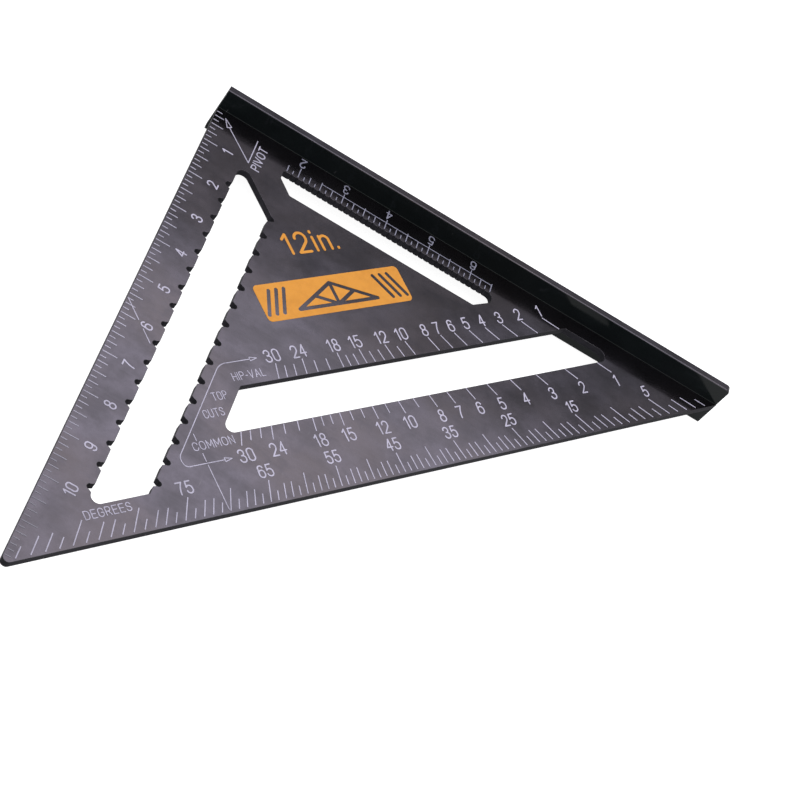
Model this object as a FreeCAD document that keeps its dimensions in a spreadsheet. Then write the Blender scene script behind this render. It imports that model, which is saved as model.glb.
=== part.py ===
import FreeCAD, Part
import functools
import math
import os
import Sketcher
from FreeCAD import Placement, Rotation, Vector

# Twelve-inch rafter square (speed square): one aluminium T-section, sawn to a
# right-angled triangle, with three windows and its scales printed on the upper face.
#
# Frame, in millimetres. The pivot corner is where the leg edge meets the inner face of
# the fence. X runs along the fence, -Y runs along the leg, +Z is the printed side, and
# Z = 0 is the underside of the blade. The hypotenuse is the line X - Y = leg length.

DOC = FreeCAD.newDocument("rafter_square")

DIMENSIONS = (
    ("one_inch", 25.4, "scale inch"),
    ("leg_length", 304.8, "pivot to each end of the hypotenuse"),
    ("blade_thickness", 4.0, "plate of the T"),
    ("fence_height", 30.0, "bar of the T"),
    ("fence_rise", 12.8, "fence above the printed face"),
    ("fence_thickness", 4.1, "bar of the T"),
    ("junction_radius", 0.3, "inside corners of the T"),
    ("fence_edge_radius", 0.5, "long edges of the fence"),
    ("fence_corner_radius", 2.5, "upper far corner of the fence"),
    ("tip_radius", 2.5, "point of the leg"),
    ("saw_margin", 5.0, "how far the sawn-off corner reaches past the blank"),
    # scribing window, beside the leg
    ("scribe_left", 22.1, "side next to the leg"),
    ("scribe_right", 45.3, "side away from the leg"),
    ("scribe_top", 2.6, "top edge is the line X + Y = minus this"),
    ("scribe_foot", 280.8, "foot edge is the line X - Y = this"),
    ("scribe_top_radius", 4.0, "corner next to the pivot"),
    ("notch_depth", 3.1, "scribing notch"),
    ("notch_mouth", 5.0, "notch width at the window side"),
    ("notch_root_radius", 1.5, "rounded bottom of the notch"),
    ("notch_pitch", 12.7, "half an inch"),
    ("left_notch_first", 44.45, "1 3/4 in below the fence"),
    ("left_notch_count", 17, "notches on the leg side"),
    ("right_notch_first", 50.8, "2 in below the fence"),
    ("right_notch_count", 15, "notches on the other side"),
    # ruling window, beside the fence
    ("ruling_left", 43.1, "left end"),
    ("ruling_right", 167.2, "right end"),
    ("ruling_top", 15.7, "toothed edge, below the fence"),
    ("ruling_bottom", 29.6, "plain edge, below the fence"),
    ("ruling_left_foot", 50.6, "slanted left end meets the plain edge"),
    ("ruling_right_foot", 158.6, "slanted right end meets the plain edge"),
    ("ruling_end_depth", 21.6, "both slanted ends start here, below the fence"),
    ("ruling_end_radius", 3.0, "corner at the right end of the toothed edge"),
    ("tooth_pitch", 3.175, "an eighth of an inch"),
    ("tooth_first", 47.625, "first tooth gap"),
    ("tooth_count", 37, "tooth gaps"),
    ("tooth_width", 1.3, "gap at the window side"),
    ("tooth_depth", 0.6, "gap depth"),
    # rafter window, beside the hypotenuse
    ("rafter_upper", 219.8, "upper edge is the line X - Y = this"),
    ("rafter_lower", 251.5, "lower edge is the line X - Y = this"),
    ("rafter_left", 63.9, "left end"),
    ("rafter_top", 9.3, "right end, below the fence"),
    ("rafter_end_radius", 4.5, "corner at the right end of the lower edge"),
    ("window_radius", 3.5, "deep left corners of the windows"),
    ("window_corner_radius", 1.0, "other corners of the windows"),
    # print
    ("print_thickness", 0.1, "pale and orange print"),
    ("line_width", 0.5, "graduations"),
    ("fine_line_width", 0.42, "drawn lines and arrows"),
    ("edge_gap", 0.4, "graduations stop this far from an edge"),
    ("degree_five", 288.4, "every fifth degree mark starts at the line X - Y = this"),
    ("degree_two", 292.6, "degree marks two from a fifth start here"),
    ("degree_one", 296.6, "degree marks one from a fifth start here"),
    ("degree_number", 281.8, "numbers of the degree scale are centred on this line"),
    ("common_long", 261.5, "numbered common marks end at the line X - Y = this"),
    ("common_short", 259.0, "other common marks end here"),
    ("common_number", 268.6, "numbers of the common scale are centred on this line"),
    ("hip_long", 207.9, "numbered hip and valley marks start at the line X - Y = this"),
    ("hip_short", 210.7, "other hip and valley marks start here"),
    ("hip_number", 201.9, "numbers of the hip and valley scale are centred on this line"),
    ("degree_number_lead", 0.6, "degree numbers stand this far on from their mark"),
    ("leg_number_inset", 13.7, "numbers of the leg scale are centred this far from the leg edge"),
    ("fence_number_depth", 4.3, "numbers of the fence scale are centred this far below the fence"),
    ("eighth_mark", 3.0, "length of an eighth-inch graduation"),
    ("quarter_mark", 5.0, "length of a quarter-inch graduation"),
    ("half_mark", 6.5, "length of a half-inch graduation"),
    ("inch_mark", 7.5, "length of an inch graduation"),
    ("leg_eighths", 94, "eighth-inch graduations of the leg"),
    ("leg_quarters", 45, "quarter-inch graduations of the leg"),
    ("leg_halves", 22, "half-inch graduations of the leg"),
    ("leg_inches", 11, "inch graduations of the leg"),
    ("fence_eighths", 39, "eighth-inch graduations of the ruling window"),
    ("fence_quarters", 20, "quarter-inch graduations of the ruling window"),
    ("fence_halves", 10, "half-inch graduations of the ruling window"),
    ("fence_inches", 5, "inch graduations of the ruling window"),
    ("inch_number_height", 6.2, "numbers of the inch scales"),
    ("degree_number_height", 6.6, "numbers of the degree scale"),
    ("rise_number_height", 7.0, "numbers of the two rafter scales"),
    ("numeral_width", 0.7, "pen stroke of the numbers"),
    ("number_squeeze", 0.84, "width of the numbers against the plain characters"),
    ("caption_height", 4.4, "names of the scales"),
    ("caption_width", 0.42, "pen stroke of the names"),
    ("pivot_word_height", 5.0, "the word beside the pivot arrow"),
    ("pivot_word_width", 0.6, "pen stroke of that word"),
    ("bracket_side", 50.8, "upright of the bracket, from the leg edge"),
    ("square_cut_level", 142.2, "the square-cut line is X + Y = minus this"),
    ("size_label_height", 12.8, "orange size label"),
    ("size_label_width", 1.5, "pen stroke of the size label"),
    ("badge_length", 89.0, "orange badge"),
    ("badge_height", 20.8, "orange badge"),
    ("badge_radius", 2.5, "corners of the badge"),
    ("truss_width", 2.0, "bars of the roof truss left clear in the badge"),
    ("truss_half_span", 24.0, "middle of the badge to each eave"),
    ("truss_eave", 6.0, "eaves below the badge's middle line"),
    ("truss_ridge", 6.2, "ridge above the badge's middle line"),
    ("stripe_lean", 3.0, "each end of a slanted stripe, to the side of its middle"),
    ("stripe_reach", 6.6, "each end of a slanted stripe, above or below its middle"),
    ("stripe_first", 30.5, "middle of the badge to the first stripe on each side"),
    ("stripe_pitch", 4.5, "from stripe to stripe"),
    ("stripe_count", 3, "stripes on each side"),
)


def make_sheet():
    """Spreadsheet that the sizes below are bound to."""
    sheet = DOC.addObject("Spreadsheet::Sheet", "Dimensions")
    for row, (alias, value, note) in enumerate(DIMENSIONS, start=1):
        sheet.set(f"A{row}", alias)
        sheet.set(f"B{row}", str(value))
        sheet.set(f"C{row}", note)
        sheet.setAlias(f"B{row}", alias)
    DOC.recompute()
    return sheet


SHEET = make_sheet()
ALIASES = {alias for alias, _, _ in DIMENSIONS}


def dim(alias):
    """Value of one driving dimension."""
    return float(SHEET.get(alias))


def bound(formula):
    """Expression in which each driving dimension is read from the spreadsheet."""
    words = formula.replace("(", " ( ").replace(")", " ) ").split()
    return " ".join(f"Dimensions.{word}" if word in ALIASES else word for word in words)


def value(formula):
    """Present value of a formula of driving dimensions."""
    return float(SHEET.evalExpression(bound(formula)))


# ------------------------------------------------------------------ sketching
def add_sketch(body, plane, label, height=None):
    """Sketch on one of the body's own origin planes, lifted by a formula if given."""
    sketch = body.newObject("Sketcher::SketchObject", label)
    base = next(item for item in body.Origin.OriginFeatures if item.Role == plane)
    sketch.AttachmentSupport = [(base, "")]
    sketch.MapMode = "FlatFace"
    if height:
        sketch.setExpression("AttachmentOffset.Base.z", bound(height))
    return sketch


def pin(sketch, edge, end, across, up):
    """Hold one end of a sketch edge at two formulas, measured from the origin."""
    for kind, formula in (("DistanceX", across), ("DistanceY", up)):
        rule = Sketcher.Constraint(kind, -1, 1, edge, end, value(formula))
        index = sketch.addConstraint(rule)
        sketch.setExpression(f"Constraints[{index}]", bound(formula))


def polygon(sketch, corners):
    """Closed straight-sided outline whose corners are pairs of formulas."""
    first = sketch.GeometryCount
    points = [Vector(value(across), value(up), 0) for across, up in corners]
    for start, end in zip(points, points[1:] + points[:1]):
        sketch.addGeometry(Part.LineSegment(start, end), False)
    for index, (across, up) in enumerate(corners):
        previous = first + (index - 1) % len(corners)
        sketch.addConstraint(Sketcher.Constraint("Coincident", previous, 2, first + index, 1))
        pin(sketch, first + index, 1, across, up)


def rectangle(sketch, left, bottom, right, top):
    """Upright rectangle between formulas."""
    polygon(sketch, [(left, bottom), (right, bottom), (right, top), (left, top)])


# ------------------------------------------------------------------ features
def pad(body, sketch, length, label):
    """Extrude a sketch along its normal."""
    feature = body.newObject("PartDesign::Pad", label)
    feature.Profile = sketch
    feature.setExpression("Length", bound(length))
    sketch.Visibility = False
    DOC.recompute()
    return feature


def cut_through(body, sketch, label):
    """Cut a sketch through the whole body, both ways from the sketch plane."""
    before = body.Shape.Volume
    feature = body.newObject("PartDesign::Pocket", label)
    feature.Profile = sketch
    feature.Type = "ThroughAll"
    feature.Midplane = True
    sketch.Visibility = False
    DOC.recompute()
    if not feature.Shape.Volume < before:
        raise RuntimeError(f"{label} removed nothing")
    return feature


def repeat(body, feature, axis, pitch, count, label, backwards=False):
    """Repeat a feature in a row along one of the body's origin axes."""
    pattern = body.newObject("PartDesign::LinearPattern", label)
    pattern.Originals = [feature]
    line = next(item for item in body.Origin.OriginFeatures if item.Role == axis)
    pattern.Direction = (line, [""])
    pattern.Reversed = backwards
    pattern.setExpression("Length", bound(f"{pitch} * ( {count} - 1 )"))
    pattern.setExpression("Occurrences", bound(str(count)))
    body.Tip = pattern
    DOC.recompute()
    return pattern


def round_edges(body, wanted, radius, label):
    """Fillet every edge of the body that a test picks."""
    base = body.Tip
    names = [f"Edge{index}" for index, edge in enumerate(base.Shape.Edges, start=1)
             if wanted(edge)]
    if not names:
        raise RuntimeError(f"{label} found no edge")
    feature = body.newObject("PartDesign::Fillet", label)
    feature.Base = (base, names)
    feature.setExpression("Radius", bound(radius))
    DOC.recompute()
    return feature


def upright_at(*corners):
    """Test for an edge along Z that stands at one of the corners, given as formulas."""
    places = [(value(across), value(up)) for across, up in corners]

    def wanted(edge):
        ends = [vertex.Point for vertex in edge.Vertexes]
        return len(ends) == 2 and any(
            all(math.hypot(end.x - x, end.y - y) < 1e-3 for end in ends) for x, y in places)

    return wanted


def lengthwise_at(*places):
    """Test for an edge along X that lies at one of the (Y, Z) formula pairs."""
    spots = [(value(across), value(up)) for across, up in places]

    def wanted(edge):
        ends = [vertex.Point for vertex in edge.Vertexes]
        return len(ends) == 2 and any(
            all(math.hypot(end.y - y, end.z - z) < 1e-3 for end in ends) for y, z in spots)

    return wanted


# ------------------------------------------------------------------ the square itself
FENCE_TOP = "( blade_thickness + fence_rise )"
FENCE_FOOT = "( blade_thickness + fence_rise - fence_height )"


def make_blank(body):
    """Length of T-section: fence as the bar, blade as the plate."""
    section = add_sketch(body, "YZ_Plane", "t_section")
    polygon(section, [
        ("0", FENCE_FOOT),
        ("fence_thickness", FENCE_FOOT),
        ("fence_thickness", FENCE_TOP),
        ("0", FENCE_TOP),
        ("0", "blade_thickness"),
        ("0 - leg_length", "blade_thickness"),
        ("0 - leg_length", "0"),
        ("0", "0"),
    ])
    pad(body, section, "leg_length", "extrusion")
    inside = lengthwise_at(("0", "blade_thickness"), ("0", "0"))
    round_edges(body, inside, "junction_radius", "junction_fillets")

    length, top = dim("leg_length"), value(FENCE_TOP)
    round_edges(
        body,
        lambda edge: all(abs(v.Point.x - length) < 1e-3 and abs(v.Point.z - top) < 1e-3
                         for v in edge.Vertexes),
        "fence_corner_radius", "fence_corner")
    long_edges = lengthwise_at(
        ("0", FENCE_FOOT), ("fence_thickness", FENCE_FOOT),
        ("fence_thickness", FENCE_TOP), ("0", FENCE_TOP))
    round_edges(body, long_edges, "fence_edge_radius", "fence_edges")


def saw_hypotenuse(body):
    """Saw the blade off along the hypotenuse and round the point of the leg."""
    waste = add_sketch(body, "XY_Plane", "sawn_off_corner")
    beyond = "leg_length + saw_margin"
    polygon(waste, [
        ("leg_length", "0"),
        (beyond, "0"),
        (beyond, "0 - leg_length - saw_margin"),
        ("0 - saw_margin", "0 - leg_length - saw_margin"),
    ])
    cut_through(body, waste, "hypotenuse")
    round_edges(body, upright_at(("0", "0 - leg_length")), "tip_radius", "leg_tip")


def cut_scribing_window(body):
    """Window beside the leg, with its slanted top and foot."""
    top_left = ("scribe_left", "0 - scribe_left - scribe_top")
    top_right = ("scribe_right", "0 - scribe_right - scribe_top")
    foot_right = ("scribe_right", "scribe_right - scribe_foot")
    foot_left = ("scribe_left", "scribe_left - scribe_foot")
    outline = add_sketch(body, "XY_Plane", "scribing_outline")
    polygon(outline, [top_left, top_right, foot_right, foot_left])
    cut_through(body, outline, "scribing_window")
    round_edges(body, upright_at(top_left), "scribe_top_radius", "scribing_top_corner")
    round_edges(body, upright_at(foot_left), "window_radius", "scribing_foot_corner")
    round_edges(body, upright_at(foot_right), "window_corner_radius", "scribing_side_corner")


def cut_ruling_window(body):
    """Window beside the fence, with slanted lower ends."""
    corners = [
        ("ruling_left", "0 - ruling_top"),
        ("ruling_right", "0 - ruling_top"),
        ("ruling_right", "0 - ruling_end_depth"),
        ("ruling_right_foot", "0 - ruling_bottom"),
        ("ruling_left_foot", "0 - ruling_bottom"),
        ("ruling_left", "0 - ruling_end_depth"),
    ]
    outline = add_sketch(body, "XY_Plane", "ruling_outline")
    polygon(outline, corners)
    cut_through(body, outline, "ruling_window")
    round_edges(body, upright_at(corners[1]), "ruling_end_radius", "ruling_end_corner")
    others = upright_at(*(corners[:1] + corners[2:]))
    round_edges(body, others, "window_corner_radius", "ruling_corners")


def cut_rafter_window(body):
    """Window beside the hypotenuse, parallel to it."""
    upper_left = ("rafter_left", "rafter_left - rafter_upper")
    upper_right = ("rafter_upper - rafter_top", "0 - rafter_top")
    lower_right = ("rafter_lower - rafter_top", "0 - rafter_top")
    lower_left = ("rafter_left", "rafter_left - rafter_lower")
    outline = add_sketch(body, "XY_Plane", "rafter_outline")
    polygon(outline, [upper_left, upper_right, lower_right, lower_left])
    cut_through(body, outline, "rafter_window")
    round_edges(body, upright_at(lower_right), "rafter_end_radius", "rafter_end_corner")
    round_edges(body, upright_at(lower_left), "window_radius", "rafter_foot_corner")
    plain = upright_at(upper_left, upper_right)
    round_edges(body, plain, "window_corner_radius", "rafter_corners")


def cut_notches(body, side, edge, outward, first, count):
    """Row of round-bottomed scribing notches in one side of the scribing window."""
    into = "+" if outward > 0 else "-"
    back = "-" if outward > 0 else "+"
    mouth = f"{edge} {back} notch_root_radius"
    shoulder = f"{edge} {into} ( notch_depth - notch_root_radius )"
    upper_lip = f"0 - {first} + notch_mouth / 2"
    lower_lip = f"0 - {first} - notch_mouth / 2"
    upper_root = f"0 - {first} + notch_root_radius"
    lower_root = f"0 - {first} - notch_root_radius"
    sketch = add_sketch(body, "XY_Plane", f"{side}_notch_outline")
    path = [
        (shoulder, lower_root),
        (edge, lower_lip),
        (mouth, lower_lip),
        (mouth, upper_lip),
        (edge, upper_lip),
        (shoulder, upper_root),
    ]
    points = [Vector(value(across), value(up), 0) for across, up in path]
    for start, end in zip(points, points[1:]):
        sketch.addGeometry(Part.LineSegment(start, end), False)
    root = Vector(value(f"{edge} {into} notch_depth"), value(f"0 - {first}"), 0)
    low_end, high_end = (1, 2) if outward > 0 else (2, 1)
    ends = {low_end: points[0], high_end: points[-1]}
    bottom = sketch.addGeometry(Part.Arc(ends[1], root, ends[2]), False)
    for index, (across, up) in enumerate(path[:-1]):
        pin(sketch, index, 1, across, up)
    pin(sketch, bottom - 1, 2, *path[-1])
    for index in range(bottom - 1):
        sketch.addConstraint(Sketcher.Constraint("Coincident", index, 2, index + 1, 1))
    sketch.addConstraint(Sketcher.Constraint("Coincident", bottom, low_end, 0, 1))
    sketch.addConstraint(Sketcher.Constraint("Coincident", bottom, high_end, bottom - 1, 2))
    centre = sketch.addConstraint(
        Sketcher.Constraint("DistanceX", -1, 1, bottom, 3, value(shoulder)))
    sketch.setExpression(f"Constraints[{centre}]", bound(shoulder))
    notch = cut_through(body, sketch, f"{side}_notch")
    repeat(body, notch, "Y_Axis", "notch_pitch", count, f"{side}_notches", backwards=True)


def cut_teeth(body):
    """Small V gaps along the fence side of the ruling window, for a pencil point."""
    sketch = add_sketch(body, "XY_Plane", "tooth_outline")
    polygon(sketch, [
        ("tooth_first - tooth_width / 2", "0 - ruling_top"),
        ("tooth_first - tooth_width / 2", "0 - ruling_top - tooth_depth"),
        ("tooth_first + tooth_width / 2", "0 - ruling_top - tooth_depth"),
        ("tooth_first + tooth_width / 2", "0 - ruling_top"),
        ("tooth_first", "0 - ruling_top + tooth_depth"),
    ])
    tooth = cut_through(body, sketch, "tooth_gap")
    repeat(body, tooth, "X_Axis", "tooth_pitch", "tooth_count", "tooth_gaps")


def make_square_body():
    """Fence and blade: the one metal piece."""
    body = DOC.addObject("PartDesign::Body", "square_body")
    make_blank(body)
    saw_hypotenuse(body)
    cut_scribing_window(body)
    cut_ruling_window(body)
    cut_rafter_window(body)
    cut_notches(body, "left", "scribe_left", -1, "left_notch_first", "left_notch_count")
    cut_notches(body, "right", "scribe_right", 1, "right_notch_first", "right_notch_count")
    cut_teeth(body)
    return body


# ------------------------------------------------------------------ inch scales
def make_leg_scale():
    """Inch graduations down the leg edge, in eighths."""
    body = DOC.addObject("PartDesign::Body", "leg_scale_marks")
    rows = (
        ("eighths", "eighth_mark", "one_inch / 8", "leg_eighths"),
        ("quarters", "quarter_mark", "one_inch / 4", "leg_quarters"),
        ("halves", "half_mark", "one_inch / 2", "leg_halves"),
        ("inches", "inch_mark", "one_inch", "leg_inches"),
    )
    for label, length, pitch, count in rows:
        sketch = add_sketch(body, "XY_Plane", f"leg_{label}_outline", "blade_thickness")
        rectangle(sketch, "edge_gap", f"0 - ( {pitch} ) - line_width / 2",
                  f"edge_gap + {length}", f"0 - ( {pitch} ) + line_width / 2")
        mark = pad(body, sketch, "print_thickness", f"leg_{label}_first")
        repeat(body, mark, "Y_Axis", f"( {pitch} )", count, f"leg_{label}", backwards=True)
    return body


def make_fence_scale():
    """Inch graduations above the ruling window, 1 3/4 to 6 1/2 in, and their long line."""
    body = DOC.addObject("PartDesign::Body", "fence_scale_marks")
    rows = (
        ("eighths", "eighth_mark", "one_inch / 8", "7 / 4", "fence_eighths"),
        ("quarters", "quarter_mark", "one_inch / 4", "7 / 4", "fence_quarters"),
        ("halves", "half_mark", "one_inch / 2", "2", "fence_halves"),
        ("inches", "inch_mark", "one_inch", "2", "fence_inches"),
    )
    foot = "0 - ruling_top + tooth_depth + edge_gap / 2"
    for label, length, pitch, first, count in rows:
        centre = f"one_inch * {first}"
        sketch = add_sketch(body, "XY_Plane", f"fence_{label}_outline", "blade_thickness")
        rectangle(sketch, f"{centre} - line_width / 2", foot,
                  f"{centre} + line_width / 2", f"{foot} + {length} - tooth_depth")
        mark = pad(body, sketch, "print_thickness", f"fence_{label}_first")
        repeat(body, mark, "X_Axis", f"( {pitch} )", count, f"fence_{label}")
    sketch = add_sketch(body, "XY_Plane", "long_line_outline", "blade_thickness")
    rectangle(sketch, "one_inch * 5 / 2", f"{foot} + quarter_mark - fine_line_width",
              "one_inch * 13 / 2", f"{foot} + quarter_mark")
    pad(body, sketch, "print_thickness", "long_line")
    return body


# ------------------------------------------------------------------ printed shapes
def print_layer(label, solids, clear_of=()):
    """Printed layer on the upper face, from separate solids drawn upward from Z = 0."""
    layer = DOC.addObject("Part::Feature", label)
    shape = Part.makeCompound(solids)
    down = Vector(0, 0, -dim("blade_thickness"))
    for other in clear_of:
        shape = shape.cut(other.Shape.translated(down))
    layer.Shape = Part.makeCompound(shape.Solids)
    layer.Placement = Placement(Vector(0, 0, dim("blade_thickness")), Rotation())
    layer.setExpression("Placement.Base.z", bound("blade_thickness"))
    return layer


def path(steps, scale=1.0):
    """Edges through a list of points; a pair of points is an arc through its first."""
    edges = []
    here = Vector(*steps[0], 0) * scale
    for step in steps[1:]:
        if isinstance(step[0], tuple):
            middle, end = Vector(*step[0], 0) * scale, Vector(*step[1], 0) * scale
            edges.append(Part.Arc(here, middle, end).toShape())
        else:
            end = Vector(*step, 0) * scale
            edges.append(Part.makeLine(here, end))
        here = end
    return edges


def pen_outline(edge, width):
    """Flat trace of a round pen along one straight or circular edge."""
    half = width / 2
    first, last = edge.FirstParameter, edge.LastParameter
    start, middle, end = (edge.valueAt(at) for at in (first, (first + last) / 2, last))
    before = start - edge.tangentAt(first) * half
    after = end + edge.tangentAt(last) * half
    if edge.Curve.TypeId == "Part::GeomLine":
        side = Vector(-edge.tangentAt(first).y, edge.tangentAt(first).x, 0) * half
        left = [point + side for point in (start, middle, end)]
        right = [point - side for point in (start, middle, end)]
        sides = [Part.makeLine(left[0], left[2]), Part.makeLine(right[2], right[0])]
    else:
        centre, radius = edge.Curve.Center, edge.Curve.Radius
        left = [centre + (point - centre) * ((radius + half) / radius)
                for point in (start, middle, end)]
        right = [centre + (point - centre) * ((radius - half) / radius)
                 for point in (start, middle, end)]
        sides = [Part.Arc(*left).toShape(), Part.Arc(*reversed(right)).toShape()]
    caps = [Part.Arc(left[2], after, right[2]).toShape(),
            Part.Arc(right[0], before, left[0]).toShape()]
    return Part.Face(Part.Wire([sides[0], caps[0], sides[1], caps[1]]))


def trace(strokes, width, scale=1.0):
    """Solids left by a round pen that draws several strokes."""
    up = Vector(0, 0, dim("print_thickness"))
    pieces = [pen_outline(edge, width).extrude(up)
              for steps in strokes for edge in path(steps, scale)]
    if len(pieces) > 1:
        return pieces[0].multiFuse(pieces[1:]).removeSplitter().Solids
    return pieces


def bar(start, end, width):
    """Square-ended straight bar between two points."""
    run = end - start
    side = Vector(-run.y, run.x, 0).normalize() * (width / 2)
    corners = [start - side, end - side, end + side, start + side]
    face = Part.Face(Part.makePolygon(corners + corners[:1]))
    return face.extrude(Vector(0, 0, dim("print_thickness")))


def on_ray(tangent, reach):
    """Point where a ray from the pivot meets the line X - Y = reach."""
    across = reach / (1 + tangent)
    return Vector(across, -across * tangent, 0)


def beside_mark(mark_end, number_line, lead=0.0):
    """Centre of a number that stands straight above or below its mark's end."""
    along = (mark_end.x + mark_end.y) / 2 + lead / math.sqrt(2.0)
    return Vector(along + number_line / 2, along - number_line / 2, 0)


def turned(steps, width):
    """Strokes turned upside down in their own cell."""
    return [tuple((width - x, 1.0 - y) for x, y in step) if isinstance(step[0], tuple)
            else (width - step[0], 1.0 - step[1]) for step in steps]


# Pen strokes of each character in a cell one unit high, and the width of the cell.
SIX_STEM = [(0.56, 0.82), ((0.31, 1.0), (0.06, 0.72)), ((0.01, 0.52), (0.0, 0.31))]
SIX_BOWL = [(0.0, 0.31), ((0.3, 0.62), (0.6, 0.31)), ((0.3, 0.0), (0.0, 0.31))]
P_BOWL = [(0.0, 0.0), (0.0, 1.0), (0.34, 1.0), ((0.6, 0.74), (0.34, 0.48)), (0.0, 0.48)]
CHARACTERS = {
    "0": ([[(0.0, 0.3), (0.0, 0.7), ((0.3, 1.0), (0.6, 0.7)), (0.6, 0.3),
            ((0.3, 0.0), (0.0, 0.3))]], 0.6),
    "1": ([[(0.0, 0.78), (0.25, 1.0), (0.25, 0.0)]], 0.3),
    "2": ([[(0.03, 0.74), ((0.3, 1.0), (0.59, 0.72)), ((0.57, 0.58), (0.49, 0.46)),
            (0.0, 0.0), (0.6, 0.0)]], 0.6),
    "3": ([[(0.02, 0.78), ((0.29, 1.0), (0.55, 0.75)), ((0.46, 0.57), (0.26, 0.53)),
            ((0.5, 0.47), (0.6, 0.27)), ((0.29, 0.0), (0.0, 0.24))]], 0.6),
    "4": ([[(0.44, 0.0), (0.44, 1.0), (0.0, 0.3), (0.62, 0.3)]], 0.62),
    "5": ([[(0.54, 1.0), (0.1, 1.0), (0.04, 0.53), ((0.35, 0.63), (0.6, 0.32)),
            ((0.3, 0.0), (0.0, 0.22))]], 0.6),
    "6": ([SIX_STEM, SIX_BOWL], 0.6),
    "7": ([[(0.0, 1.0), (0.6, 1.0), ((0.32, 0.53), (0.2, 0.0))]], 0.6),
    "8": ([[(0.06, 0.77), ((0.3, 1.0), (0.54, 0.77)), ((0.3, 0.54), (0.06, 0.77))],
           [(0.0, 0.27), ((0.3, 0.54), (0.6, 0.27)), ((0.3, 0.0), (0.0, 0.27))]], 0.6),
    "9": ([turned(SIX_STEM, 0.6), turned(SIX_BOWL, 0.6)], 0.6),
    "A": ([[(0.0, 0.0), (0.34, 1.0), (0.68, 0.0)], [(0.11, 0.32), (0.57, 0.32)]], 0.68),
    "C": ([[(0.62, 0.72), ((0.33, 1.0), (0.0, 0.68)), (0.0, 0.32),
            ((0.33, 0.0), (0.62, 0.28))]], 0.62),
    "D": ([[(0.0, 0.0), (0.0, 1.0), (0.26, 1.0), ((0.51, 0.9), (0.62, 0.64)),
            (0.62, 0.36), ((0.51, 0.1), (0.26, 0.0)), (0.0, 0.0)]], 0.62),
    "E": ([[(0.56, 1.0), (0.0, 1.0), (0.0, 0.0), (0.56, 0.0)],
           [(0.0, 0.52), (0.5, 0.52)]], 0.56),
    "G": ([[(0.63, 0.72), ((0.33, 1.0), (0.0, 0.68)), (0.0, 0.32),
            ((0.33, 0.0), (0.64, 0.28)), (0.64, 0.48), (0.38, 0.48)]], 0.64),
    "H": ([[(0.0, 0.0), (0.0, 1.0)], [(0.6, 0.0), (0.6, 1.0)],
           [(0.0, 0.52), (0.6, 0.52)]], 0.6),
    "I": ([[(0.0, 0.0), (0.0, 1.0)]], 0.0),
    "L": ([[(0.0, 1.0), (0.0, 0.0), (0.52, 0.0)]], 0.52),
    "M": ([[(0.0, 0.0), (0.0, 1.0), (0.36, 0.25), (0.72, 1.0), (0.72, 0.0)]], 0.72),
    "N": ([[(0.0, 0.0), (0.0, 1.0), (0.6, 0.0), (0.6, 1.0)]], 0.6),
    "O": ([[(0.0, 0.34), (0.0, 0.66), ((0.34, 1.0), (0.68, 0.66)), (0.68, 0.34),
            ((0.34, 0.0), (0.0, 0.34))]], 0.68),
    "P": ([P_BOWL], 0.6),
    "R": ([P_BOWL, [(0.32, 0.48), (0.62, 0.0)]], 0.62),
    "S": ([[(0.57, 0.76), ((0.3, 1.0), (0.04, 0.77)), ((0.12, 0.59), (0.3, 0.52)),
            ((0.5, 0.43), (0.6, 0.25)), ((0.3, 0.0), (0.0, 0.24))]], 0.6),
    "T": ([[(0.0, 1.0), (0.64, 1.0)], [(0.32, 1.0), (0.32, 0.0)]], 0.64),
    "U": ([[(0.0, 1.0), (0.0, 0.3), ((0.31, 0.0), (0.62, 0.3)), (0.62, 1.0)]], 0.62),
    "V": ([[(0.0, 1.0), (0.33, 0.0), (0.66, 1.0)]], 0.66),
    "-": ([[(0.0, 0.42), (0.26, 0.42)]], 0.26),
    ".": ([[(0.0, 0.0), (0.0, 0.03)]], 0.0),
    "i": ([[(0.0, 0.0), (0.0, 0.7)], [(0.0, 0.95), (0.0, 1.0)]], 0.0),
    "n": ([[(0.0, 0.0), (0.0, 0.7)],
           [(0.0, 0.46), ((0.22, 0.7), (0.44, 0.46)), (0.44, 0.0)]], 0.44),
}


def squeezed(steps, narrow):
    """Strokes drawn narrower in their own cell."""
    return [tuple((x * narrow, y) for x, y in step) if isinstance(step[0], tuple)
            else (step[0] * narrow, step[1]) for step in steps]


@functools.lru_cache(maxsize=None)
def character_solids(character, tall, width, narrow):
    """Solids of one character at its own origin, at narrow times its plain width."""
    return trace([squeezed(steps, narrow) for steps in CHARACTERS[character][0]], width, tall)


def lettering(text, centre, angle, height, width, spacing=0.3, narrow=1.0):
    """Solids of a line of characters, centred on a point and turned by an angle."""
    tall = height - width
    step = narrow * tall
    gap = spacing * step
    length = sum(CHARACTERS[character][1] * step + gap for character in text) - gap
    solids = []
    across = -length / 2
    for character in text:
        for solid in character_solids(character, tall, width, narrow):
            placed = solid.translated(Vector(across, -tall / 2, 0))
            placed.rotate(Vector(), Vector(0, 0, 1), angle)
            solids.append(placed.translated(centre))
        across += CHARACTERS[character][1] * step + gap
    return solids


# ------------------------------------------------------------------ numbers of the scales
def numerals(label, height_name, numbers):
    """Layer of numbers, each given as (number, centre, angle)."""
    height, width = dim(height_name), dim("numeral_width")
    solids = []
    for number, centre, angle in numbers:
        solids += lettering(str(number), centre, angle, height, width, narrow=dim("number_squeeze"))
    return print_layer(label, solids)


def make_leg_numerals():
    """1 to 10 beside the inch marks, read up the leg."""
    inset = dim("leg_number_inset")
    places = [(count, Vector(inset, -count * dim("one_inch"), 0), 90)
              for count in range(1, 11)]
    return numerals("leg_scale_numerals", "inch_number_height", places)


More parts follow.
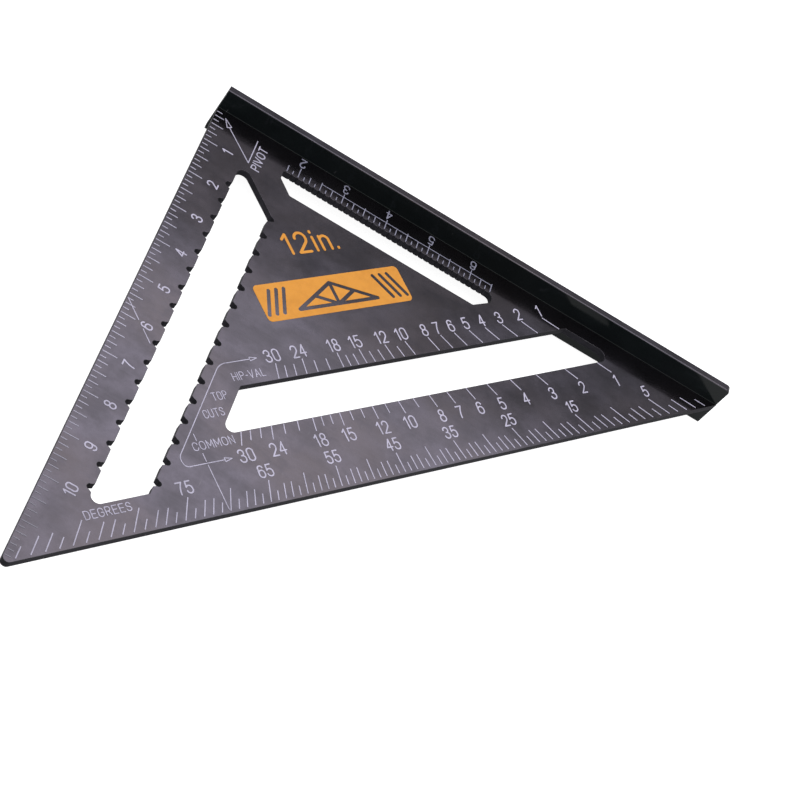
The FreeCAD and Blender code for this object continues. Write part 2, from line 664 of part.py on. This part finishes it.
def make_fence_numerals():
    """2 to 6 between the fence and the inch marks of the ruling window, upside down."""
    depth = dim("fence_number_depth")
    places = [(count, Vector(count * dim("one_inch"), -depth, 0), 180)
              for count in range(2, 7)]
    return numerals("fence_scale_numerals", "inch_number_height", places)


# ------------------------------------------------------------------ scales of angles
RAFTER_RUN = 12.0
HIP_RUN = RAFTER_RUN * math.sqrt(2.0)
LABELLED_RISES = (1, 2, 3, 4, 5, 6, 7, 8, 10, 12, 15, 18, 24, 30)
ALONG_HYPOTENUSE = 45


def make_degree_scale():
    """Degrees 1 to 89 along the hypotenuse; fives are long and carry numbers by tens."""
    outer = dim("leg_length") - 4 * dim("edge_gap")
    five, two, one = dim("degree_five"), dim("degree_two"), dim("degree_one")
    inner = (five, one, two, two, one)
    tangents = {degree: math.tan(math.radians(degree)) for degree in range(1, 90)}
    width = dim("line_width")
    print_layer("degree_scale_marks", [
        bar(on_ray(tangent, inner[degree % 5]), on_ray(tangent, outer), width)
        for degree, tangent in tangents.items()])
    number_line, lead = dim("degree_number"), dim("degree_number_lead")
    numerals("degree_scale_numerals", "degree_number_height", [
        (degree, beside_mark(on_ray(tangents[degree], five), number_line, lead),
         ALONG_HYPOTENUSE)
        for degree in range(5, 76, 10)])


def make_rise_scale(name, run, rises, edge, ends, number_line):
    """Scale of roof rises: each mark lies on the ray whose slope is rise over run."""
    long, short = ends
    width = dim("line_width")
    marks = []
    for rise in rises:
        end = long if rise in LABELLED_RISES else short
        marks.append(bar(on_ray(rise / run, end), on_ray(rise / run, edge), width))
    print_layer(f"{name}_scale_marks", marks)
    numerals(f"{name}_scale_numerals", "rise_number_height", [
        (rise, beside_mark(on_ray(rise / run, long), number_line), ALONG_HYPOTENUSE)
        for rise in LABELLED_RISES])


def make_common_scale():
    """Common rafters: marks below the rafter window, numbers below the marks."""
    rises = tuple(range(1, 19)) + tuple(range(20, 31, 2))
    edge = dim("rafter_lower") + dim("edge_gap")
    ends = dim("common_long"), dim("common_short")
    make_rise_scale("common", RAFTER_RUN, rises, edge, ends, dim("common_number"))


def make_hip_scale():
    """Hip and valley rafters: marks above the rafter window, numbers above the marks."""
    rises = tuple(range(1, 9)) + tuple(range(10, 19)) + tuple(range(20, 31, 2))
    edge = dim("rafter_upper") - dim("edge_gap")
    ends = dim("hip_long"), dim("hip_short")
    make_rise_scale("hip_valley", HIP_RUN, rises, edge, ends, dim("hip_number"))


# ------------------------------------------------------------------ captions and lines
# Each name with the X and Y of its centre, and its width against the plain characters.
CAPTIONS = (
    ("HIP-VAL", 65.3, -147.3, 0.88),
    ("TOP", 56.6, -167.4, 0.78),
    ("CUTS", 57.2, -178.0, 0.80),
    ("COMMON", 62.4, -193.6, 1.0),
    ("DEGREES", 31.6, -254.6, 0.97),
)
PIVOT_WORD_CENTRE = (29.5, -18.0)
SIZE_LABEL_CENTRE = (68.4, -50.6)
BADGE_CENTRE = (89.4, -73.0)

# Corners of the drawn lines, as X and Y. A pair of points inside a line is a curve: its middle and its end.
PIVOT_STEM = [(9.4, -9.15), (25.2, -24.4), (25.2, -7.2)]
PIVOT_HEAD = [(5.8, -4.9), (10.4, -8.3), (8.4, -10.0), (5.8, -4.9)]
BRACKET_TOP = [(63.1, -138.6), (53.8, -147.9)]
BRACKET_TOP_CURVE = (51.7, -150.6)
BRACKET_UPRIGHT = (-154.0, -207.4)
BRACKET_FOOT = [((51.4, -210.4), (53.2, -212.2)), ((55.4, -212.6), (57.2, -211.4)), (70.0, -198.7)]
BRACKET_UPPER_HEAD = [(62.4, -137.9), (65.8, -135.9), (63.8, -139.3), (62.4, -137.9)]
BRACKET_LOWER_HEAD = [(69.3, -198.0), (72.7, -196.0), (70.7, -199.4), (69.3, -198.0)]

# Where the square-cut line is drawn, from X to X: it stops at the window and at the names.
SQUARE_CUT_STRETCHES = ((0.8, 9.3), (12.6, 18.4), (52.4, 55.0), (59.6, 62.6), (63.8, 80.0))


def make_captions():
    """Names of the scales, all read along the hypotenuse."""
    solids = []
    for text, across, up, narrow in CAPTIONS:
        solids += lettering(text, Vector(across, up, 0), ALONG_HYPOTENUSE,
                            dim("caption_height"), dim("caption_width"), narrow=narrow)
    return print_layer("scale_captions", solids)


def make_pivot_mark():
    """Arrow to the pivot corner, its stem, and the word beside the stem."""
    arrow = trace([PIVOT_STEM, PIVOT_HEAD], dim("line_width"))
    word = lettering("PIVOT", Vector(*PIVOT_WORD_CENTRE, 0), 90,
                     dim("pivot_word_height"), dim("pivot_word_width"))
    return print_layer("pivot_mark", arrow + word)


def make_caption_bracket():
    """Two-headed arrow that joins the names TOP CUTS to both rafter scales."""
    side = dim("bracket_side")
    upright_top, upright_foot = BRACKET_UPRIGHT
    upright = [(BRACKET_TOP_CURVE, (side, upright_top)), (side, upright_foot)]
    line = BRACKET_TOP + upright + BRACKET_FOOT
    lines = trace([line, BRACKET_UPPER_HEAD, BRACKET_LOWER_HEAD], dim("fine_line_width"))
    return print_layer("caption_bracket", lines)


def make_square_cut_line(clear_of):
    """Line square to the hypotenuse, from the leg edge, broken at the window and names."""
    level = dim("square_cut_level")
    return print_layer("square_cut_line", [
        bar(Vector(start, -level - start, 0), Vector(end, -level - end, 0),
            dim("fine_line_width"))
        for start, end in SQUARE_CUT_STRETCHES], clear_of)


def make_size_label():
    """Orange size label."""
    label = lettering("12in.", Vector(*SIZE_LABEL_CENTRE, 0), ALONG_HYPOTENUSE,
                      dim("size_label_height"), dim("size_label_width"), spacing=0.35)
    return print_layer("size_label", label)


def make_badge():
    """Orange badge: a rounded bar with a roof truss and slanted stripes left clear."""
    length, height = dim("badge_length"), dim("badge_height")
    corner = Vector(-length / 2, -height / 2, 0)
    plate = Part.makeBox(length, height, dim("print_thickness"), corner)
    plate = plate.makeFillet(dim("badge_radius"), [
        edge for edge in plate.Edges if abs(edge.tangentAt(0).z) > 0.5])
    half_span, eave, ridge = dim("truss_half_span"), -dim("truss_eave"), dim("truss_ridge")
    brace, brace_top = half_span / 2, (eave + ridge) / 2
    truss = [
        [(-half_span, eave), (0.0, ridge), (half_span, eave), (-half_span, eave)],
        [(0.0, ridge), (0.0, eave)],
        [(-brace, brace_top), (0.0, eave), (brace, brace_top)],
    ]
    lean, reach = dim("stripe_lean"), dim("stripe_reach")
    starts = [dim("stripe_first") + count * dim("stripe_pitch")
              for count in range(round(dim("stripe_count")))]
    stripes = [[(side * (start + lean), -reach), (side * (start - lean), reach)]
               for side in (-1, 1) for start in starts]
    plate = plate.cut(trace(truss + stripes, dim("truss_width")))
    plate.rotate(Vector(), Vector(0, 0, 1), ALONG_HYPOTENUSE)
    plate.translate(Vector(*BADGE_CENTRE, 0))
    return print_layer("trade_badge", plate.Solids)


# ------------------------------------------------------------------ build and export
def export_parts():
    """Check every object, then write one STEP file per top-level part."""
    os.makedirs("parts", exist_ok=True)
    for item in DOC.Objects:
        if "Invalid" in item.State or "Error" in item.State:
            raise RuntimeError(f"{item.Label} did not build")
    parts = [item for item in DOC.Objects
             if item.TypeId == "PartDesign::Body" or item.TypeId == "Part::Feature"]
    for item in parts:
        if item.Shape.isNull() or not item.Shape.isValid():
            raise RuntimeError(f"{item.Label} has no sound shape")
        item.Shape.exportStep(f"parts/{item.Label}.step")
        box = item.Shape.BoundBox
        print(f"{item.Label}: {len(item.Shape.Solids)} solids, {item.Shape.Volume:.1f} mm3, "
              f"X {box.XMin:.2f} to {box.XMax:.2f}, Y {box.YMin:.2f} to {box.YMax:.2f}, "
              f"Z {box.ZMin:.2f} to {box.ZMax:.2f}")


make_square_body()
leg_scale = make_leg_scale()
make_leg_numerals()
make_fence_scale()
make_fence_numerals()
make_degree_scale()
make_common_scale()
make_hip_scale()
make_captions()
make_pivot_mark()
make_caption_bracket()
make_square_cut_line([leg_scale])
make_size_label()
make_badge()
DOC.recompute()
export_parts()
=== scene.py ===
"""Looks, light and camera for a 12 in speed square.

The square is a black anodised aluminium blade and fence with printed scales."""

import bpy
from mathutils import Matrix, Vector


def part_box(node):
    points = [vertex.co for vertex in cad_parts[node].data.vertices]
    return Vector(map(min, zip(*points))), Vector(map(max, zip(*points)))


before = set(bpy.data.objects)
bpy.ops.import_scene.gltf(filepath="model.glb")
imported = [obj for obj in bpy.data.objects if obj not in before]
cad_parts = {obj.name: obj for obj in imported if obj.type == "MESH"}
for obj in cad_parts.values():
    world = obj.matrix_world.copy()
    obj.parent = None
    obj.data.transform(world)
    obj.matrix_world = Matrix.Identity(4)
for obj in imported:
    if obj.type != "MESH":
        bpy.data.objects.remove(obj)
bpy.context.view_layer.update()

BODY = "square_body"
BODY_LOW, BODY_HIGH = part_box(BODY)
PRINT_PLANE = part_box("leg_scale_marks")[0].z

# Where the square touches the bench, how far the bench reaches, and how far it stays below the square, in
# metres in the row frame.
FENCE_FOOT = Vector((0.0, 0.0, BODY_LOW.z))
LEG_TIP = Vector((0.0, BODY_LOW.y, 0.0))
BENCH_REACH = 6.0
BENCH_GAP = 0.0002

# The inside corners of the T lie between these two heights and on the fence's side of this Y, and fade out
# over CORNER_BLUR.
CORNER_TOP = 0.0052
CORNER_FOOT = -0.0012
CORNER_SIDE = -0.0010
CORNER_BLUR = 0.0004

# A face looks along an axis when its normal's share of it is over FACING, and a guide face's normal has a Y
# below TOWARDS_BLADE. The fence's top edge is TOP_EDGE deep and has the extruded finish.
FACING = 0.5
TOWARDS_BLADE = -0.05
TOP_EDGE = 0.0006

# The body's material slots: faces as extruded, the fence's guide faces, which face the blade and get a far
# darker copy of the dye as painted shade, and cut walls.
EXTRUDED, SHADED_GUIDE, CUT = range(3)

# Radius of the broken edges, and how nearly their normal agrees with the face's where wear begins and where
# it is full.
BROKEN_EDGE = 0.0002
EDGE_SAMPLES = 6
EDGE_BEGINS = 0.995
EDGE_FULL = 0.80

# Strength of the wear in patches, in small nicks, and everywhere along an edge, and how much it roughens.
PATCH_WEAR = 0.75
NICK_WEAR = 0.55
EVEN_WEAR = 0.14
WORN_ROUGHNESS = 0.25

# Depths of the surface relief, in metres.
GRAIN_DEPTH = 0.0000014
MOTTLING_DEPTH = 0.0000120
SPECKLE_DEPTH = 0.0000008
CHATTER_DEPTH = 0.000010
PINHOLE_DEPTH = 0.00001

# The dye varies between dark, light and warm. shine is the lowest and highest roughness, metal the share of
# mirror-like metal under the dye, gleam the strength of the sealed surface's own reflection, and bare the
# tone of worn edges.
EXTRUDED_FINISH = {
    "dark": (0.0520, 0.0490, 0.0575, 1),
    "light": (0.0840, 0.0780, 0.0950, 1),
    "warm": (0.0745, 0.0650, 0.0690, 1),
    "shine": (0.105, 0.165),
    "metal": 0.97,
    "gleam": 0.22,
    "bare": (0.52, 0.51, 0.53, 1),
}
# The guide faces' finish: the extruded dye made far darker and without metal, as painted shade on the
# fence's inner face towards the blade.
SHADED_GUIDE_FINISH = {
    "dark": (0.0030, 0.0044, 0.0046, 1),
    "light": (0.0052, 0.0072, 0.0076, 1),
    "warm": (0.0046, 0.0060, 0.0060, 1),
    "shine": (0.110, 0.170),
    "metal": 0.0,
    "gleam": 0.12,
    "bare": (0.20, 0.20, 0.21, 1),
}
SCUFFED = (0.120, 0.116, 0.124, 1)
CUT_DARK = (0.0110, 0.0110, 0.0132, 1)
CUT_LIGHT = (0.0200, 0.0190, 0.0230, 1)
CUT_CHATTER = (0.0310, 0.0300, 0.0350, 1)
CUT_BARE = (0.34, 0.33, 0.35, 1)
CUT_GLEAM = 0.01

# Each ink's tone, its tone where it is thin, its roughness, and how far it is rubbed away at the leg's tip,
# where hands have worn it.
INKS = {
    "pale_print": ((0.400, 0.380, 0.480, 1), (0.270, 0.257, 0.325, 1), 0.42, 0.20),
    "leg_pale_print": ((0.345, 0.330, 0.412, 1), (0.225, 0.215, 0.270, 1), 0.42, 0.72),
    # The fence's ink is the pale ink made about half as bright and bluer, as painted shade on the fence's
    # scale.
    "fence_print_painted_shade": ((0.205, 0.206, 0.270, 1), (0.140, 0.141, 0.185, 1), 0.42, 0.0),
    "faint_pale_print": ((0.370, 0.353, 0.445, 1), (0.250, 0.240, 0.305, 1), 0.44, 0.0),
    "orange_print": ((0.54, 0.225, 0.024, 1), (0.45, 0.18, 0.020, 1), 0.40, 0.0),
}
# Full ink is smoother than its roughness by the first, and thin ink rougher by the second.
INK_SMOOTHER = 0.06
INK_ROUGHER = 0.10
INK_GLEAM = 0.25
# The rubbing starts at the first Y, is complete at the second, and leaves the tone INK_GONE.
RUBBED_FROM = -0.180
RUBBED_TO = -0.270
INK_GONE = (0.085, 0.082, 0.095, 1)

# The nodes whose ink is not pale_print.
NODE_INKS = {
    "leg_scale_marks": "leg_pale_print",
    # The fence's scale and numerals take the darker ink, as painted shade.
    "fence_scale_marks": "fence_print_painted_shade",
    "fence_scale_numerals": "fence_print_painted_shade",
    "scale_captions": "faint_pale_print",
    "caption_bracket": "faint_pale_print",
    "pivot_mark": "faint_pale_print",
    "size_label": "orange_print",
    "trade_badge": "orange_print",
}

BENCH_DARK = (0.30, 0.30, 0.30, 1)
BENCH_LIGHT = (0.34, 0.34, 0.34, 1)
BENCH_ROUGHNESS = 0.85
BENCH_GLOW = 0.93

SKY = (0.97, 0.97, 1.0, 1)
SKY_STRENGTH = 0.62

# The camera's place and directions in the row frame, in metres, and its lens and sensor in millimetres.
CAMERA_PLACE = Vector((-0.0760, -0.7966, 0.7112))
CAMERA_AHEAD = Vector((0.21255, 0.67905, -0.70265))
CAMERA_UP = Vector((-0.48843, 0.69663, 0.52549))
CAMERA_LENS = 95.156
CAMERA_SENSOR = 36.0
CAMERA_CLIP = (0.01, 50.0)


class Shader:
    """Builds one material's nodes, one call for each node."""

    def __init__(self, name):
        self.material = bpy.data.materials.new(name)
        self.material.use_nodes = True
        self.nodes = self.material.node_tree.nodes
        self.links = self.material.node_tree.links
        self.surface = self.nodes["Principled BSDF"].inputs
        self.place = self.nodes.new("ShaderNodeTexCoord").outputs["Object"]

    def set(self, socket, value):
        """A link if value is another node's output, or else a number or colour."""
        if isinstance(value, bpy.types.NodeSocket):
            self.links.new(value, socket)
        else:
            socket.default_value = value

    def axis(self, letter):
        """The place along X, Y or Z, in metres."""
        split = self.nodes.new("ShaderNodeSeparateXYZ")
        self.set(split.inputs["Vector"], self.place)
        return split.outputs[letter]

    def face_normal(self):
        return self.nodes.new("ShaderNodeNewGeometry").outputs["Normal"]

    def noise(self, stretch, detail=3.0, rough=0.5):
        """Noise whose features repeat about stretch times per metre along X, Y and Z."""
        scaled = self.nodes.new("ShaderNodeVectorMath")
        scaled.operation = "MULTIPLY"
        self.set(scaled.inputs[0], self.place)
        self.set(scaled.inputs[1], stretch)
        made = self.nodes.new("ShaderNodeTexNoise")
        self.set(made.inputs["Vector"], scaled.outputs["Vector"])
        self.set(made.inputs["Scale"], 1.0)
        self.set(made.inputs["Detail"], detail)
        self.set(made.inputs["Roughness"], rough)
        return made.outputs["Fac"]

    def between(self, value, low, high, to_low=0.0, to_high=1.0):
        """value's range low to high, mapped on to_low to to_high and held there."""
        made = self.nodes.new("ShaderNodeMapRange")
        made.clamp = True
        for name, number in (
            ("Value", value),
            ("From Min", low),
            ("From Max", high),
            ("To Min", to_low),
            ("To Max", to_high),
        ):
            self.set(made.inputs[name], number)
        return made.outputs["Result"]

    def math(self, operation, first, second):
        made = self.nodes.new("ShaderNodeMath")
        made.operation = operation
        self.set(made.inputs[0], first)
        self.set(made.inputs[1], second)
        return made.outputs["Value"]

    def mix(self, amount, first, second, kind="RGBA"):
        made = self.nodes.new("ShaderNodeMix")
        made.data_type = kind
        self.set(made.inputs["Factor"], amount)
        self.set(made.inputs["A"], first)
        self.set(made.inputs["B"], second)
        return made.outputs["Result"]

    def bump(self, height, distance, normal=None):
        """Raises the surface by up to distance metres where height is 1."""
        made = self.nodes.new("ShaderNodeBump")
        self.set(made.inputs["Height"], height)
        self.set(made.inputs["Distance"], distance)
        if normal is not None:
            self.set(made.inputs["Normal"], normal)
        return made.outputs["Normal"]

    def rounded(self, radius):
        """The normal as it would be with every edge broken by radius metres."""
        made = self.nodes.new("ShaderNodeBevel")
        made.samples = EDGE_SAMPLES
        self.set(made.inputs["Radius"], radius)
        return made.outputs["Normal"]

    def near_edge(self, soft_normal):
        """Rises from 0 on a flat face to about 1 on an edge."""
        made = self.nodes.new("ShaderNodeVectorMath")
        made.operation = "DOT_PRODUCT"
        self.set(made.inputs[0], soft_normal)
        self.set(made.inputs[1], self.face_normal())
        return self.between(made.outputs["Value"], EDGE_BEGINS, EDGE_FULL)


def outside_corners(s):
    """1 away from the inside corners of the T, and 0 in them."""
    height = s.axis("Z")
    over_blade = s.between(height, CORNER_TOP, CORNER_TOP + CORNER_BLUR)
    under_blade = s.between(height, CORNER_FOOT, CORNER_FOOT - CORNER_BLUR)
    off_fence = s.between(s.axis("Y"), CORNER_SIDE, CORNER_SIDE - CORNER_BLUR)
    return s.math("MAXIMUM", s.math("MAXIMUM", over_blade, under_blade), off_fence)


def edge_normal(s, outside):
    """Slightly broken edges everywhere but in the inside corners of the T, which stay crisp."""
    return s.mix(outside, s.face_normal(), s.rounded(BROKEN_EDGE), "VECTOR")


def worn_edges(s, soft, outside, amount):
    """Wear on outside edges, in patches with a few bright nicks. Inside corners keep their dye."""
    edge = s.math("MULTIPLY", s.near_edge(soft), outside)
    rubbing = s.noise((120.0, 120.0, 120.0), detail=4.0, rough=0.7)
    knocks = s.noise((95.0, 260.0, 260.0), detail=2.0, rough=0.6)
    patches = s.between(rubbing, 0.50, 0.68, 0.0, PATCH_WEAR * amount)
    nicks = s.between(knocks, 0.70, 0.76, 0.0, NICK_WEAR)
    worn = s.math("ADD", s.math("MAXIMUM", patches, nicks), EVEN_WEAR * amount)
    return s.math("MULTIPLY", edge, worn)


def anodised(name, dark, light, warm, shine, metal, gleam, bare):
    """Dyed anodising on extruded metal: lengthwise grain, mottling, handling marks and worn edges."""
    s = Shader(name)
    mottling = s.noise((46.0, 60.0, 60.0), detail=6.0, rough=0.66)
    stain = s.noise((88.0, 110.0, 110.0), detail=4.0, rough=0.62)
    cloud = s.noise((10.0, 14.0, 14.0), rough=0.6)
    grain = s.noise((9.0, 900.0, 900.0), detail=4.0, rough=0.65)
    speckle = s.noise((1700.0, 1700.0, 1700.0), rough=0.6)
    smudge = s.noise((22.0, 34.0, 34.0), detail=6.0, rough=0.7)
    scuff = s.noise((340.0, 40.0, 60.0), rough=0.7)
    outside = outside_corners(s)
    soft = edge_normal(s, outside)
    wear = worn_edges(s, soft, outside, amount=0.30)

    dye = s.mix(s.between(mottling, 0.38, 0.64), dark, light)
    dye = s.mix(s.between(cloud, 0.44, 0.62, 0.0, 0.6), dye, warm)
    dye = s.mix(s.between(stain, 0.52, 0.66, 0.0, 0.55), dye, dark)
    dye = s.mix(s.between(grain, 0.42, 0.70, 0.0, 0.22), dye, light)
    dye = s.mix(s.between(speckle, 0.40, 0.66, 0.0, 0.25), dye, dark)
    dye = s.mix(s.between(scuff, 0.70, 0.78, 0.0, 0.5), dye, SCUFFED)
    s.set(s.surface["Base Color"], s.mix(wear, dye, bare))
    s.set(s.surface["Metallic"], metal)
    s.set(s.surface["Specular IOR Level"], gleam)

    gloss = s.between(smudge, 0.34, 0.68, *shine)
    gloss = s.math("ADD", gloss, s.between(mottling, 0.38, 0.66, -0.010, 0.020))
    s.set(s.surface["Roughness"], s.math("ADD", gloss, s.math("MULTIPLY", wear, WORN_ROUGHNESS)))

    ridged = s.bump(grain, GRAIN_DEPTH, soft)
    waved = s.bump(mottling, MOTTLING_DEPTH, ridged)
    s.set(s.surface["Normal"], s.bump(speckle, SPECKLE_DEPTH, waved))
    return s.material


def anodised_cuts():
    """The same dye on sawn and milled walls: dull, with tool marks that run round the cut."""
    s = Shader("anodised_cut")
    chatter = s.noise((160.0, 160.0, 2600.0), rough=0.6)
    blotch = s.noise((210.0, 210.0, 210.0), detail=4.0, rough=0.65)
    outside = outside_corners(s)
    soft = edge_normal(s, outside)
    wear = worn_edges(s, soft, outside, amount=0.36)
    dye = s.mix(s.between(blotch, 0.36, 0.66), CUT_DARK, CUT_LIGHT)
    dye = s.mix(s.between(chatter, 0.55, 0.75, 0.0, 0.5), dye, CUT_CHATTER)
    s.set(s.surface["Base Color"], s.mix(wear, dye, CUT_BARE))
    s.set(s.surface["Specular IOR Level"], CUT_GLEAM)
    s.set(s.surface["Roughness"], s.between(blotch, 0.34, 0.68, 0.42, 0.58))
    s.set(s.surface["Normal"], s.bump(chatter, CHATTER_DEPTH, soft))
    return s.material


def print_ink(name, pale, worn, gloss, rubbed):
    """A thin printed mark: slightly uneven ink that thins out in small patches."""
    s = Shader(name)
    thin = s.noise((160.0, 160.0, 160.0), detail=4.0, rough=0.7)
    pinholes = s.noise((1900.0, 1900.0, 1900.0), detail=2.0)
    colour = s.mix(s.between(thin, 0.42, 0.72, 0.0, 0.75), pale, worn)
    colour = s.mix(s.between(pinholes, 0.60, 0.72, 0.0, 0.45), colour, worn)
    if rubbed:
        gone = s.between(s.axis("Y"), RUBBED_FROM, RUBBED_TO, 0.0, rubbed)
        colour = s.mix(gone, colour, INK_GONE)
    s.set(s.surface["Base Color"], colour)
    s.set(s.surface["Specular IOR Level"], INK_GLEAM)
    s.set(s.surface["Roughness"], s.between(thin, 0.3, 0.7, gloss - INK_SMOOTHER, gloss + INK_ROUGHER))
    s.set(s.surface["Normal"], s.bump(pinholes, PINHOLE_DEPTH))
    return s.material


def bench_paint():
    """White top of a softly lit table."""
    s = Shader("bench_white")
    fibres = s.noise((70.0, 70.0, 70.0), detail=5.0, rough=0.6)
    s.set(s.surface["Base Color"], s.mix(fibres, BENCH_DARK, BENCH_LIGHT))
    s.set(s.surface["Roughness"], BENCH_ROUGHNESS)
    s.set(s.surface["Emission Color"], (1.0, 1.0, 1.0, 1))
    s.set(s.surface["Emission Strength"], BENCH_GLOW)
    return s.material


def paint(node, *materials):
    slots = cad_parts[node].data.materials
    slots.clear()
    for material in materials:
        slots.append(material)


def body_slot(face):
    """The material slot of one face of the body."""
    in_blade = face.center.y < CORNER_SIDE
    blade_wall = in_blade and abs(face.normal.z) < FACING and face.center.z < PRINT_PLANE
    if blade_wall or abs(face.normal.x) > FACING:
        return CUT
    below_top_edge = face.center.z < BODY_HIGH.z - TOP_EDGE
    # Faces of the fence towards the blade get the darker copy of the dye, as painted shade.
    if not in_blade and face.normal.y < TOWARDS_BLADE and below_top_edge:
        return SHADED_GUIDE
    return EXTRUDED


def paint_nodes():
    faces = anodised("anodised_aluminium", **EXTRUDED_FINISH)
    # A far darker copy of the dye for the guide faces, as painted shade.
    shaded_guides = anodised("anodised_guide_painted_shade", **SHADED_GUIDE_FINISH)
    paint(BODY, faces, shaded_guides, anodised_cuts())
    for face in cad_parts[BODY].data.polygons:
        face.material_index = body_slot(face)
    inks = {name: print_ink(name, *look) for name, look in INKS.items()}
    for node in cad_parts:
        if node != BODY:
            paint(node, inks[NODE_INKS.get(node, "pale_print")])


def bench():
    """A pale plane through the fence's lower edge and the tip of the leg, where the square really rests."""
    across = Vector((1.0, 0.0, 0.0))
    along = (LEG_TIP - FENCE_FOOT).normalized()
    down = across.cross(along).normalized() * BENCH_GAP
    middle = Vector((BODY_HIGH.x / 2, 0.0, 0.0)) + (FENCE_FOOT + LEG_TIP) / 2
    corners = [
        middle + down + across * (BENCH_REACH * u) + along * (BENCH_REACH * v)
        for u, v in ((-1, 1), (1, 1), (1, -1), (-1, -1))
    ]
    mesh = bpy.data.meshes.new("bench_top")
    mesh.from_pydata([tuple(corner) for corner in corners], [], [(0, 1, 2, 3)])
    mesh.materials.append(bench_paint())
    top = bpy.data.objects.new("bench_top", mesh)
    bpy.context.scene.collection.objects.link(top)


def softbox(name, place, aim, width, depth, watts, colour):
    lamp = bpy.data.lights.new(name, "AREA")
    lamp.shape = "RECTANGLE"
    lamp.size = width
    lamp.size_y = depth
    lamp.energy = watts
    lamp.color = colour
    obj = bpy.data.objects.new(name, lamp)
    obj.location = place
    obj.rotation_euler = (Vector(aim) - Vector(place)).to_track_quat("-Z", "Y").to_euler()
    bpy.context.scene.collection.objects.link(obj)


def studio_light():
    """Pale sky, one broad lamp overhead, and one behind the fence that the blade mirrors as a soft sheen."""
    scene = bpy.context.scene
    world = bpy.data.worlds.new("studio")
    world.use_nodes = True
    background = world.node_tree.nodes["Background"]
    background.inputs["Color"].default_value = SKY
    background.inputs["Strength"].default_value = SKY_STRENGTH
    scene.world = world
    softbox("overhead", place=(0.05, -0.55, 1.80), aim=(0.12, -0.10, 0.0),
            width=2.8, depth=2.2, watts=40.0, colour=(1.0, 1.0, 1.0))
    softbox("behind", place=(0.45, 0.90, 1.47), aim=(0.45, -1.02, 0.0),
            width=1.5, depth=0.66, watts=6.9, colour=(1.0, 0.97, 1.0))
    scene.view_settings.view_transform = "Standard"


def camera():
    made = bpy.data.objects.new("camera", bpy.data.cameras.new("camera"))
    made.data.sensor_width = CAMERA_SENSOR
    made.data.lens = CAMERA_LENS
    made.data.clip_start, made.data.clip_end = CAMERA_CLIP
    back = -CAMERA_AHEAD.normalized()
    right = CAMERA_UP.cross(back).normalized()
    up = back.cross(right)
    turn = Matrix((right, up, back)).transposed()
    made.matrix_world = Matrix.Translation(CAMERA_PLACE) @ turn.to_4x4()
    bpy.context.scene.collection.objects.link(made)
    bpy.context.scene.camera = made


camera()
paint_nodes()
bench()
studio_light()

bpy.context.view_layer.update()
